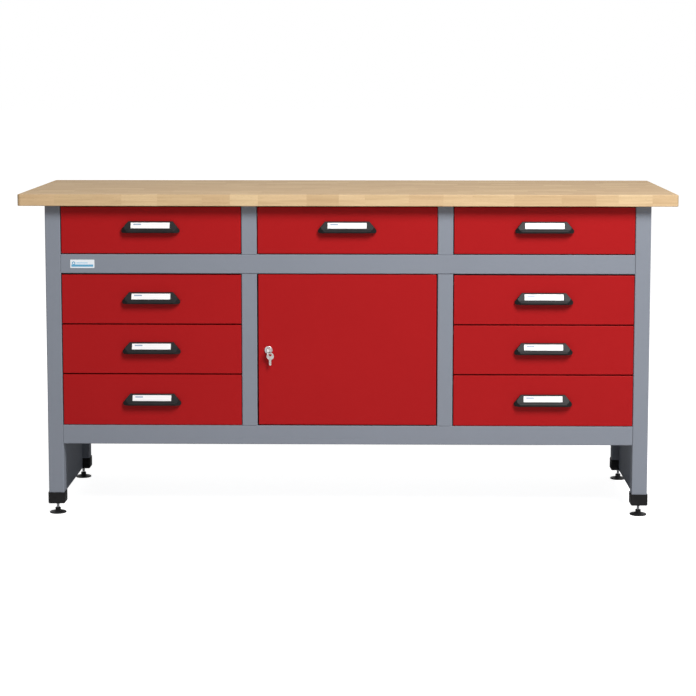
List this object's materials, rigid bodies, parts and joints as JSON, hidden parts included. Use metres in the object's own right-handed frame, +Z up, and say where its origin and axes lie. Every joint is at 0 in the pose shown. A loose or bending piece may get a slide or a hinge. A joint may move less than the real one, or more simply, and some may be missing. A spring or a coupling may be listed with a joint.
{
  "type": "workbench with drawers",
  "caption": "Workbench with a solid wood top on a grey steel frame, drawers in a top row and in two side columns, a central cupboard with a locking door, and levelling feet.",
  "frame": {"origin": "on the floor, below the middle of the worktop", "axes": "+Z up, the drawer fronts face -Y, +X to the right seen from the front"},
  "size_m": [1.7, 0.6006, 0.845],
  "materials": {
    "beech": "lacquered",
    "grey_paint": "powder coated, satin",
    "red_paint": "powder coated, satin",
    "tray_paint": "powder coated, satin",
    "black_plastic": "moulded, fine grain",
    "zinc": "zinc plated",
    "chrome": "polished",
    "key_metal": "nickel plated",
    "nylon": "plain",
    "badge": "printed film, no lettering"
  },
  "bodies": {
    "carcass": {"worktop": "beech", "worktop_screws": "zinc", "leg_front_left": "grey_paint", "leg_front_right": "grey_paint", "leg_rear_left": "grey_paint", "leg_rear_right": "grey_paint", "leg_caps": "black_plastic", "side_panel_left": "grey_paint", "side_panel_right": "grey_paint", "front_rail_upper": "grey_paint", "front_rail_lower": "grey_paint", "mid_posts": "grey_paint", "rear_rails": "grey_paint", "back_panel": "grey_paint", "back_screws": "zinc", "partition_left": "grey_paint", "partition_right": "grey_paint", "base_panel": "grey_paint", "badge": "badge", "drawer_runners": "zinc", "hinge_pins": "zinc", "hinge_washers": "nylon"},
    "drawer_top_left": {"tray_top_left": "tray_paint", "front_top_left": "red_paint", "pull_top_left": "black_plastic"},
    "drawer_top_middle": {"tray_top_middle": "tray_paint", "front_top_middle": "red_paint", "pull_top_middle": "black_plastic"},
    "drawer_top_right": {"tray_top_right": "tray_paint", "front_top_right": "red_paint", "pull_top_right": "black_plastic"},
    "drawer_low_left": {"tray_low_left": "tray_paint", "front_low_left": "red_paint", "pull_low_left": "black_plastic"},
    "drawer_mid_left": {"tray_mid_left": "tray_paint", "front_mid_left": "red_paint", "pull_mid_left": "black_plastic"},
    "drawer_high_left": {"tray_high_left": "tray_paint", "front_high_left": "red_paint", "pull_high_left": "black_plastic"},
    "drawer_low_right": {"tray_low_right": "tray_paint", "front_low_right": "red_paint", "pull_low_right": "black_plastic"},
    "drawer_mid_right": {"tray_mid_right": "tray_paint", "front_mid_right": "red_paint", "pull_mid_right": "black_plastic"},
    "drawer_high_right": {"tray_high_right": "tray_paint", "front_high_right": "red_paint", "pull_high_right": "black_plastic"},
    "door": {"door_panel": "red_paint", "lock_housing": "chrome"},
    "lock_key": {"lock_plug": "chrome", "lock_cam": "zinc", "door_key": "key_metal"},
    "ring": {"key_ring": "key_metal"},
    "spare": {"spare_key": "key_metal"},
    "levelling_foot_front_left": {"foot_front_left": "black_plastic"},
    "levelling_foot_front_right": {"foot_front_right": "black_plastic"},
    "levelling_foot_rear_left": {"foot_rear_left": "black_plastic"},
    "levelling_foot_rear_right": {"foot_rear_right": "black_plastic"}
  },
  "joints": [
    {"name": "drawer_top_left_slide", "type": "slide", "parent": "carcass", "child": "drawer_top_left", "axis": [0, -1, 0], "range_m": [0, 0.33]},
    {"name": "drawer_top_middle_slide", "type": "slide", "parent": "carcass", "child": "drawer_top_middle", "axis": [0, -1, 0], "range_m": [0, 0.33]},
    {"name": "drawer_top_right_slide", "type": "slide", "parent": "carcass", "child": "drawer_top_right", "axis": [0, -1, 0], "range_m": [0, 0.33]},
    {"name": "drawer_low_left_slide", "type": "slide", "parent": "carcass", "child": "drawer_low_left", "axis": [0, -1, 0], "range_m": [0, 0.33]},
    {"name": "drawer_mid_left_slide", "type": "slide", "parent": "carcass", "child": "drawer_mid_left", "axis": [0, -1, 0], "range_m": [0, 0.33]},
    {"name": "drawer_high_left_slide", "type": "slide", "parent": "carcass", "child": "drawer_high_left", "axis": [0, -1, 0], "range_m": [0, 0.33]},
    {"name": "drawer_low_right_slide", "type": "slide", "parent": "carcass", "child": "drawer_low_right", "axis": [0, -1, 0], "range_m": [0, 0.33]},
    {"name": "drawer_mid_right_slide", "type": "slide", "parent": "carcass", "child": "drawer_mid_right", "axis": [0, -1, 0], "range_m": [0, 0.33]},
    {"name": "drawer_high_right_slide", "type": "slide", "parent": "carcass", "child": "drawer_high_right", "axis": [0, -1, 0], "range_m": [0, 0.33]},
    {"name": "door_swing", "type": "hinge", "parent": "carcass", "child": "door", "pos_m": [0.2239, -0.2635, 0.43775], "axis": [0, 0, 1], "range_deg": [0, 95]},
    {"name": "lock_turn", "type": "hinge", "parent": "door", "child": "lock_key", "pos_m": [-0.2048, -0.27, 0.43775], "axis": [0, -1, 0], "range_deg": [0, 90]},
    {"name": "ring_hang", "type": "hinge", "parent": "lock_key", "child": "ring", "pos_m": [-0.2048, -0.2798, 0.43775], "axis": [0, -1, 0], "range_deg": [-90, 0]},
    {"name": "spare_key_swing", "type": "hinge", "parent": "ring", "child": "spare", "pos_m": [-0.19995, -0.28206, 0.42696], "axis": [-1, 0, 0], "range_deg": [0, 45]},
    {"name": "foot_front_left_height", "type": "slide", "parent": "carcass", "child": "levelling_foot_front_left", "axis": [0, 0, 1], "range_m": [0, 0.012]},
    {"name": "foot_front_right_height", "type": "slide", "parent": "carcass", "child": "levelling_foot_front_right", "axis": [0, 0, 1], "range_m": [0, 0.012]},
    {"name": "foot_rear_left_height", "type": "slide", "parent": "carcass", "child": "levelling_foot_rear_left", "axis": [0, 0, 1], "range_m": [0, 0.012]},
    {"name": "foot_rear_right_height", "type": "slide", "parent": "carcass", "child": "levelling_foot_rear_right", "axis": [0, 0, 1], "range_m": [0, 0.012]}
  ],
  "couplings": [
    {"joint": "ring_hang", "follows": "lock_turn", "ratio": -1}
  ]
}
